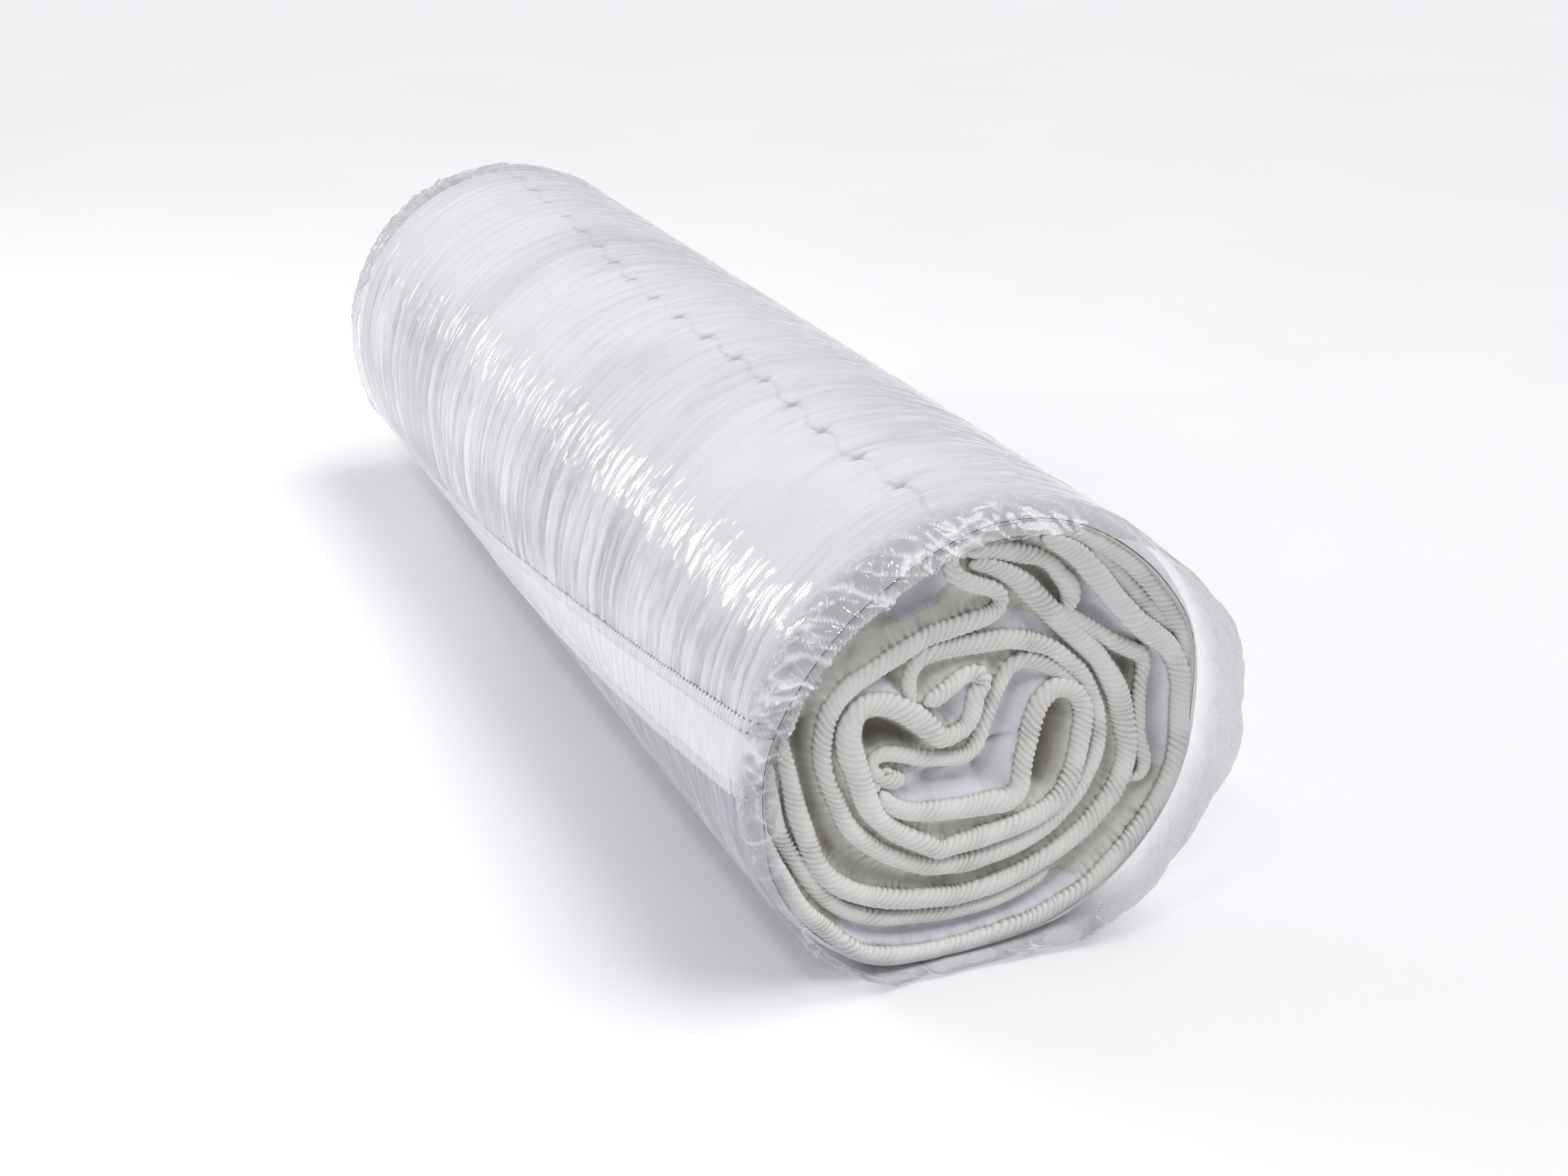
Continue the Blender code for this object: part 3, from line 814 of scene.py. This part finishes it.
def end_cloth(side, seed):
    """The cloth between the beads of one end, on a grid: points, spots, painted shade, and its lilac and
    knitted faces.
    """
    across = np.arange(-0.1525, 0.1535, END_CELL)
    up = np.arange(-0.1435, 0.1495, END_CELL)
    x, z = np.meshgrid(across, up)
    angle = np.degrees(np.arctan2(z, x))
    radius = np.hypot(x, z)
    rim = rim_radius(angle) - 0.0006
    within = radius < rim + 1.2 * END_CELL
    shrink = np.where(radius > rim, rim / np.maximum(radius, 1e-6), 1)
    x, z = x * shrink, z * shrink

    lilac, region = np.zeros(x.shape, bool), np.full(x.shape, 0.007)
    for depth, corners in DEPTHS:
        region[inside_of(corners, x, z)] = depth / 1000
    for depth, corners in LILAC:
        found = inside_of(corners, x, z)
        lilac |= found
        region[found] = depth / 1000
    region = softened(region, 3)

    total, weights = np.zeros(x.shape), np.zeros(x.shape)
    flat = pair(x.ravel(), z.ravel())
    for i, (depth, path) in enumerate(OUTER_BEADS + INNER_BEADS):
        middle, width, along = line_of(path, 0.0025)
        near = np.empty(len(flat))
        spot, wide = np.empty(len(flat)), np.empty(len(flat))
        for at in range(0, len(flat), 8000):
            gaps = np.linalg.norm(flat[at:at + 8000, None, :] - middle[None, :, :], axis=-1)
            best = gaps.argmin(axis=1)
            near[at:at + 8000] = gaps[np.arange(len(best)), best]
            spot[at:at + 8000], wide[at:at + 8000] = along[best], width[best]
        past = (near - wide / 2).reshape(x.shape)
        spot = spot.reshape(x.shape)
        dip = np.where(past > 0, region * (1 - np.exp(-np.maximum(past, 0) / 0.0075)), 0)
        pleats = 0.0013 * np.cos(math.tau * pucker_phase(spot, seed + 10 * i + 4))
        pleats = pleats * np.exp(-np.abs(past) / 0.006) * np.where(lilac, 0.35, 0.7)
        share = np.exp(-np.clip(past, -0.004, 0.05) / 0.0028)
        total += share * (depth / 1000 + 0.0070 + dip + pleats)
        weights += share
    deep = total / weights

    soft = crease(x / 0.019 + 0.4 * noise(x / 0.03, z / 0.03, seed + 90), z / 0.026, seed + 91, 4)
    lines = crease((x + z) / 0.011, (x - z) / 0.034, seed + 92, 5)
    deep = deep + 0.0011 * soft + 0.0008 * lines + 0.0006 * noise(x / 0.008, z / 0.012, seed + 93)
    lean = np.arctan2(z + 0.006, x + 0.004)
    star = np.hypot(x + 0.004, z + 0.006)
    pinch = crease(lean * 1.6, 0.5, seed + 94, 5) * bell(star / 0.024) * ease(star / 0.004) * lilac
    deep = np.clip(deep + 0.0085 * pinch, 0.006, 0.026)
    deep = deep + (0.0044 - deep) * ease((radius - rim + 0.0045) / 0.004)

    points = points_at(pair(x, z), side * (HALF - deep)).reshape(-1, 3)
    columns = len(across)
    corner = np.arange(len(up) * columns).reshape(len(up), columns)
    quads = np.stack([corner[:-1, :-1], corner[:-1, 1:], corner[1:, 1:], corner[1:, :-1]], -1).reshape(-1, 4)
    kept = within.ravel()[quads].all(axis=1)
    colour = lilac.ravel()[quads].sum(axis=1) >= 2
    quads = quads if side < 0 else quads[:, ::-1]
    place = pair(x, z).reshape(-1, 2)
    # Painted shade: the deeper the cloth lies between the beads, the darker.
    painted_shade = np.clip((deep - 0.0092) / 0.011, 0, 1).ravel()
    return points, place, painted_shade, quads[kept & colour], quads[kept & ~colour]


def only_used(cloth_part, quads, first):
    """The points, spots and painted shade that some quads use, and those quads renumbered from first."""
    used, renumbered = np.unique(quads, return_inverse=True)
    return *(values[used] for values in cloth_part[:3]), (renumbered.reshape(-1, 4) + first).tolist()


def long_border(name, side, cloth_part, finish, seed):
    """The lilac border: what shows of it over the end of the roll, and the strip that closes the turns."""
    y = side * HALF
    columns, along = walk(y, 0.5, TIP + 3, SLAB_END, 0.0022)
    outer, inner = faces_of(columns, y)
    thickness = np.linalg.norm(inner - outer, axis=-1)
    v = np.linspace(0.16, 0.84, 7)
    sunk = RECESS + 0.0035 + 0.002 * np.sin(math.pi * v) + 0.001 * crease(along[:, None] / 0.014, v, seed, 4)
    xz = outer[:, None, :] + (inner - outer)[:, None, :] * v[..., None]
    strip = points_at(xz, side * (HALF - sunk)).reshape(-1, 3)
    place = pair(along[:, None], thickness[:, None] * v).reshape(-1, 2)
    faces = grid_faces(len(columns), len(v))
    faces = flip(faces) if side > 0 else faces
    points, spots, painted_shade, quads = only_used(cloth_part, cloth_part[3], len(strip))
    points, place = np.concatenate([strip, points]), np.concatenate([place, spots])
    # Painted shade: the strip lies deep inside the roll.
    marks = {"painted_shade": np.concatenate([np.full(len(strip), 0.8), painted_shade])}
    return add_piece(name, points, faces + quads, place, finish, marks)


# The slab's two ends


def foot_border(finish):
    """The smooth border that slopes up over the slab's outer end."""
    ys = np.linspace(-BEAD_MIDDLE, BEAD_MIDDLE, 641)
    columns = np.linspace(TIP_TAPE - 0.3, RAMP_TOP + 0.3, 17)
    u, y = columns[:, None], ys[None, :]
    v = (columns[:, None] - columns[0]) / (columns[-1] - columns[0])
    round_it = round_at(u)
    folds = crease(y / 0.021 + 1.2 * v, v * 0.6, 51, 5) * np.sin(math.pi * v) ** 0.5
    edge = crease(y / 0.0056, 0.5, 52, 2) * (1 - np.sin(math.pi * v)) ** 2
    crown = 0.0012 * np.sin(math.pi * v)
    height = crown - 0.0006 * folds - 0.0009 * edge + 0.0004 * noise(y / 0.05, round_it / 0.03, 53)
    xz = shoulder(raised(u, y, 0, height), u, y)
    place = pair(along_slab(u, 0, 0), y)
    faces = grid_faces(len(columns), len(ys))
    return add_piece("border_foot", points_at(xz, y), flip(faces), place, finish)


def cross_bead(name, u, share, width, lift, thick, finish, seed):
    """A puckered edge that runs across the slab at column u, from one side of the mattress to the other."""
    steps = round(2 * BEAD_MIDDLE / 0.0012)
    ys = np.linspace(-BEAD_MIDDLE, BEAD_MIDDLE, steps + 1)
    sides = 14
    turn = math.tau * np.arange(sides) / sides
    columns = np.full_like(ys, u)
    run = unit(face_of(columns + 0.4, ys, share) - face_of(columns - 0.4, ys, share))
    out = right_of(run)
    phase = ys[:, None] / (PUCKER * 1.15) + 0.3 * waver(ys / 0.02, seed)[:, None] + 0.25 * np.sin(turn)
    swell = (np.abs(np.sin(math.pi * phase)) ** 0.8 - 0.85) * PUCKER_DEPTH
    middle = face_of(columns, ys, share) + out * (lift + 0.0003 * waver(ys / 0.03, seed + 1))[:, None]
    flat = run[:, None, :] * ((width / 2 + 1.5 * swell) * np.cos(turn))[..., None]
    up = out[:, None, :] * ((thick / 2 + swell) * np.sin(turn))[..., None]
    points = points_at(shoulder(middle[:, None, :] + flat + up, columns[:, None], ys[:, None]), ys[:, None])
    faces = tube_faces(len(ys), sides)
    place = pair(ys[:, None], turn / math.tau * width * 2)
    # Painted shade in the valleys between puckers.
    painted_shade = 0.7 * np.clip(1 - np.abs(np.sin(math.pi * phase)), 0, 1) ** 2
    marks = {"painted_shade": np.broadcast_to(painted_shade, (len(ys), sides)).ravel()}
    made = add_piece(name, points, faces, place, finish, marks)


def head_border(finish):
    """The border that closes the slab's inner end, in the middle of the roll."""
    ys = np.linspace(-BEAD_MIDDLE, BEAD_MIDDLE, 320)
    v = np.linspace(0.2, 0.8, 9)[:, None]
    y = ys[None, :]
    columns = np.full((9, 320), SLAB_END - 0.3)
    run = unit(face_of(columns, y, v) - face_of(columns - 0.5, y, v))
    dip = 0.001 * np.sin(math.pi * v) + 0.0006 * crease(y / 0.02, v, 61, 4)
    xz = face_of(columns, y, v) - run * dip[..., None]
    place = pair(v * 0.015, y)
    return add_piece("border_head", points_at(xz, y), grid_faces(9, 320), place, finish)


# The foams


def foam_block(name, top, bottom, finish, seed):
    """One layer of foam between two shares of the slab's depth, a closed body."""
    columns, along = walk(0, 0.5, FOAM_START, END_TAPE - 0.5, 0.006)
    ys = np.linspace(-HALF + FOAM_RECESS, HALF - FOAM_RECESS, 21)
    u, y = columns[:, None], ys[None, :]
    outer, inner = faces_of(u, y)
    thickness = np.linalg.norm(inner - outer, axis=-1, keepdims=True)
    inset = np.minimum(COVER_SHELL / thickness, 0.3)

    def layer(share, wobble):
        at = inset + (1 - 2 * inset) * share
        soft = 0.0003 * noise(along[:, None] / 0.03, y / 0.03, wobble)[..., None] / thickness
        return points_at(outer + (inner - outer) * (at + soft), y)

    upper, lower = layer(top, seed), layer(bottom, seed + 1)[:, ::-1]
    points = np.concatenate([upper, lower], axis=1)
    size = points.shape[1]
    faces = grid_faces(len(columns), size, closed=True)
    rows = len(ys)
    last = (len(columns) - 1) * size
    for k in range(rows - 1):
        ring = (k, k + 1, size - 2 - k, size - 1 - k)
        faces += [ring[::-1], tuple(last + i for i in ring)]
    y_place = np.concatenate([ys, ys[::-1]])
    place = pair(along[:, None], y_place[None, :])
    made = add_piece(name, points, flip(faces), place, finish)


# The film

# At each angle, how far the near collar reaches past the roll's end, and how much it draws in.
NEAR_REACH = (
    (-60, 0.024), (-35, 0.027), (-10, 0.033), (12, 0.041), (30, 0.0415), (48, 0.036), (75, 0.030),
    (100, 0.026), (130, 0.022), (165, 0.022), (200, 0.022), (235, 0.017), (270, 0.014), (300, 0.024),
    (325, 0.027), (350, 0.033), (372, 0.041),
)
NEAR_DRAW = (
    (-60, 0.05), (-10, 0.03), (12, 0.02), (30, -0.01), (48, 0.04), (75, 0.06), (100, 0.09), (130, 0.13),
    (165, 0.11), (200, 0.07), (250, 0.06), (270, 0.05), (300, 0.05), (350, 0.03), (372, 0.02),
)


def film_height(angle, y):
    """The film's fine wrinkles, which run round the roll like the cover's."""
    round_it = round_at(angle)
    drift = drift_of(round_it, y)
    wrinkles = noise(drift / 0.0052, round_it / 0.030, 81) + 0.6 * noise(drift / 0.011, round_it / 0.07, 82)
    patches = 0.55 + 0.75 * ease(0.5 + noise(y / 0.05, round_it / 0.04, 83))
    return 0.00038 * wrinkles * patches


def crumple(around, out, busy, seed):
    """The collar's folds in metres and the thin lines along them, from places round and past the roll's end.

    Broad soft facets with a few long creases, and where it is busy, sharp narrow folds that run askew.
    """
    a, b = around / 0.048 + 0.35 * noise(around / 0.03, out / 0.03, seed + 5), out / 0.034
    first = np.abs(noise(a + 0.4 * b, b - 0.3 * a, seed))
    second = np.abs(noise(2.3 * a - 0.9 * b, 1.6 * b + 0.7 * a, seed + 1))
    c = (around + 0.8 * out + 0.004 * noise(around / 0.012, out / 0.012, seed + 6)) / 0.0070
    d = (out - 0.25 * around) / 0.042
    third = np.abs(noise(c, d, seed + 2))
    fourth = np.abs(noise(2.1 * c + 0.8 * d, 1.7 * d, seed + 3))
    folds = 0.0055 * (first - 0.4) + 0.0018 * second + busy * (0.0036 * (third - 0.4) + 0.0013 * fourth)
    lines = 0.9 * (1 - first) ** 55 + 0.6 * (1 - second) ** 40
    lines = lines + busy * (1.7 * (1 - third) ** 14 + 0.9 * (1 - fourth) ** 12)
    return folds, np.clip(lines, 0, 1)


def stretch_film(finish):
    """The film: a fine-wrinkled sleeve, zipped to a crumpled collar that stands past each end of the roll."""
    coarse, ratio, rings = 90, 8, 37
    fine = coarse * ratio
    body_angles = 360 * np.arange(coarse) / coarse
    collar_angles = 360 * np.arange(fine) / fine

    def sleeve(angle, y):
        return np.minimum(hull(angle, 0.0002) + film_height(angle, y), to_floor(angle))

    def place_of(radius, angle, y):
        return points_at(radius[..., None] * ray(angle), y).reshape(-1, 3)

    ys = np.linspace(-COLLAR_START, COLLAR_START, 480)
    angle, y = body_angles[None, :], ys[:, None]
    points, faces = [place_of(sleeve(angle, y), angle, y)], grid_faces(len(ys), coarse, closed=True)
    place = [pair(round_at(angle), y).reshape(-1, 2)]
    slack, white = [np.zeros(len(points[0]))], [np.zeros(len(points[0]))]

    for side in (-1, 1):
        seed = 100 if side < 0 else 140
        angle = collar_angles[None, :]
        turned = (angle + 60) % 360 - 60 if side < 0 else (angle + 60 + 25) % 360 - 60
        reach = spline(NEAR_REACH, turned)[..., 0]
        draw = spline(NEAR_DRAW, turned)[..., 0]
        if side > 0:
            reach, draw = 0.5 * reach + 0.021, draw + 0.02
        seam = ease((angle - 335) / 22)
        ragged = 0
        for share, at in ((1 - seam, angle), (seam, angle - 360)):
            ragged = ragged + share * (0.0022 * waver(at / 9, seed) + 0.0014 * waver(at / 3.1, seed + 1))
        reach = np.minimum(reach + ragged, COLLAR_REACH)
        t = np.linspace(0, 1, rings)[:, None] ** 0.9
        y_out = COLLAR_START + 0.0025 + (HALF + reach - COLLAR_START - 0.0025) * t
        past = y_out - HALF
        loose = ease((past + 0.020) / 0.030)
        drawn = 1 - draw * ease(past / 0.030)
        around = round_at(angle)
        busy = 0.18 + 0.9 * bell((turned - 140) / 38)
        folds, lines = crumple(around, past, busy, seed + 2)
        folds_again, lines_again = crumple(around - math.tau * ROLL_RADIUS, past, busy, seed + 2)
        folds = folds * (1 - seam) + folds_again * seam
        lines = lines * (1 - seam) + lines_again * seam
        y = side * y_out
        radius = sleeve(angle, y) * drawn + loose * folds
        radius = np.where(past < 0.001, np.maximum(radius, sleeve(angle, y) - 0.0002), radius)
        radius = np.minimum(radius, to_floor(angle))
        first = sum(len(p) for p in points)
        points.append(place_of(radius, angle, y))
        place.append(pair(around, y).reshape(-1, 2))
        slack.append(np.broadcast_to(loose, radius.shape).ravel())
        # White crease lines: stress whitening, and painted glints along the creases.
        white.append((lines * loose * 0.85).ravel())
        collar = grid_faces(rings, fine, first, closed=True)
        body_row = (0 if side < 0 else len(ys) - 1) * coarse + np.append(np.arange(coarse), 0)
        fine_row = first + np.append(np.arange(fine), 0)
        joint = zip_faces(fine_row, body_row, np.arange(coarse + 1) * ratio)
        faces += flip(collar) + joint if side < 0 else collar + flip(joint)
    marks = {"slack": np.concatenate(slack), "crease": np.concatenate(white)}
    points, place = np.concatenate(points), np.concatenate(place)
    return add_piece("stretch_film", points, flip(faces), place, finish, marks)


# The studio


def aimed(name, data, place, towards):
    """A light or camera at a place, looking along a direction."""
    made = bpy.data.objects.new(name, data)
    made.location = place
    made.rotation_euler = towards.to_track_quat("-Z", "Y").to_euler()
    bpy.context.scene.collection.objects.link(made)
    return made


def area_light(name, place, aim, size, watts):
    data = bpy.data.lights.new(name, "AREA")
    data.shape = "RECTANGLE"
    data.size, data.size_y = size, size
    data.energy = watts
    aimed(name, data, place, Vector(aim) - Vector(place))


def studio():
    world = bpy.data.worlds.new("studio")
    bpy.context.scene.world = world
    world.use_nodes = True
    tree = world.node_tree
    soft = tree.nodes["Background"]
    soft.inputs["Color"].default_value = (0.96, 0.965, 1.0, 1)
    # Light comes from above and from behind the far end, and the background is seen as plain white.
    towards = add_node(tree, "SeparateXYZ", Vector=add_node(tree, "TexCoord").outputs["Generated"])
    level = maths(tree, "MULTIPLY_ADD", maths(tree, "MAXIMUM", towards.outputs["Z"], 0), 0.36, 0.19)
    level = maths(tree, "MULTIPLY_ADD", maths(tree, "MAXIMUM", towards.outputs["Y"], 0), 0.20, level)
    feed(tree, soft.inputs["Strength"], level)
    seen = add_node(tree, "Background", Color=(1, 1, 1, 1), Strength=1.0).outputs["Background"]
    rays = add_node(tree, "LightPath").outputs["Is Camera Ray"]
    either = mixed(tree, rays, soft.outputs["Background"], seen)
    feed(tree, tree.nodes["World Output"].inputs["Surface"], either)

    data = bpy.data.lights.new("sky", "SUN")
    data.energy = 1.75
    data.angle = math.radians(36)
    aimed("sky", data, (0, 0, 0), Vector((-0.42, 0.26, -1.0)))
    area_light("left_near", (-1.1, 0.45, 0.85), (-0.05, -0.1, 0.2), 0.42, 5)
    area_light("left_far", (-1.2, 1.30, 0.80), (-0.05, 0.2, 0.2), 0.40, 2.4)
    area_light("front_glint", (-1.1, -1.5, 2.3), (0, -0.45, 0.2), 0.22, 8)

    bpy.ops.mesh.primitive_plane_add(size=60)
    floor = bpy.context.object
    floor.name = "floor"
    floor.data.materials.append(floor_material())

    data = bpy.data.cameras.new("camera")
    data.lens = 47.83
    data.sensor_width = 36
    place = Vector((-0.5454, -1.4526, 0.7194))
    bpy.context.scene.camera = aimed("camera", data, place, Vector((-0.0350, -0.2725, 0.1654)) - place)
    bpy.context.scene.view_settings.view_transform = "Standard"


def build():
    # Each cloth gives its dark and light tones, then its painted shade colour for folds and recesses. The
    # inner knit's tones are set darker than the outer knit's, partly as painted shade over the roll's ends.
    outer_knit = cloth(
        "outer_knit", (0.755, 0.755, 0.77), (0.82, 0.82, 0.83), (0.42, 0.42, 0.475),
        (700, 900, 0.0002), (22, 400, 0.0015), 0.85,
    )
    inner_knit = cloth(
        "inner_knit", (0.63, 0.62, 0.58), (0.71, 0.705, 0.665), (0.24, 0.222, 0.18),
        (600, 700, 0.0004), (240, 110, 0.0017), 0.9,
    )
    tape = cloth(
        "edge_tape", (0.75, 0.745, 0.72), (0.825, 0.82, 0.795), (0.35, 0.33, 0.28),
        (1400, 1400, 0.0002), (420, 120, 0.0008), 0.85,
    )
    border = cloth(
        "smooth_border", (0.73, 0.71, 0.76), (0.79, 0.77, 0.82), (0.34, 0.315, 0.365),
        (1200, 1200, 0.0001), (40, 40, 0.0010), 0.6, 0.3,
    )
    foot_cloth = cloth(
        "smooth_foot", (0.80, 0.80, 0.81), (0.85, 0.85, 0.86), (0.50, 0.49, 0.53),
        (1200, 1200, 0.0001), (40, 40, 0.0010), 0.6, 0.3,
    )

    near_cloth, far_cloth = end_cloth(-1, 600), end_cloth(1, 800)
    outside = outside_panel(outer_knit)
    inside = inside_panel(inner_knit, (near_cloth, far_cloth))
    near = long_border("border_near", -1, near_cloth, border, 201)
    far = long_border("border_far", 1, far_cloth, border, 211)
    foot = foot_border(foot_cloth)
    head = head_border(border)
    for seed, side, label in ((600, -1, "near"), (800, 1, "far")):
        beads(f"edge_tape_outside_{label}", side, OUTER_BEADS, tape, seed)
        beads(f"edge_tape_inside_{label}", side, INNER_BEADS, tape, seed + 40)
    cross_bead("edge_tape_inside_foot", TIP + 0.6, 0, 0.0092, 0.0008, 0.0036, foot_cloth, 401)
    cross_bead("edge_tape_outside_foot", RAMP_TOP + 1.4, 0, 0.0100, -0.0006, 0.0036, foot_cloth, 411)
    cross_bead("edge_tape_outside_head", SLAB_END - 2.5, 0, 0.007, -0.0028, 0.0068, tape, 421)
    cross_bead("edge_tape_inside_head", SLAB_END - 2.5, 1, 0.007, 0.0028, 0.0068, tape, 431)
    white = foam_material("foam_white", (0.90, 0.89, 0.83), (0.94, 0.93, 0.88))
    cream = foam_material("foam_cream", (0.86, 0.83, 0.72), (0.91, 0.89, 0.80))
    foam_block("support_foam", 0.0, 0.64, white, 501)
    foam_block("memory_foam", 0.66, 1.0, cream, 511)
    film = stretch_film(film_material())

    slab = float(along_slab(SLAB_END, 0, 0.5))


build()
studio()
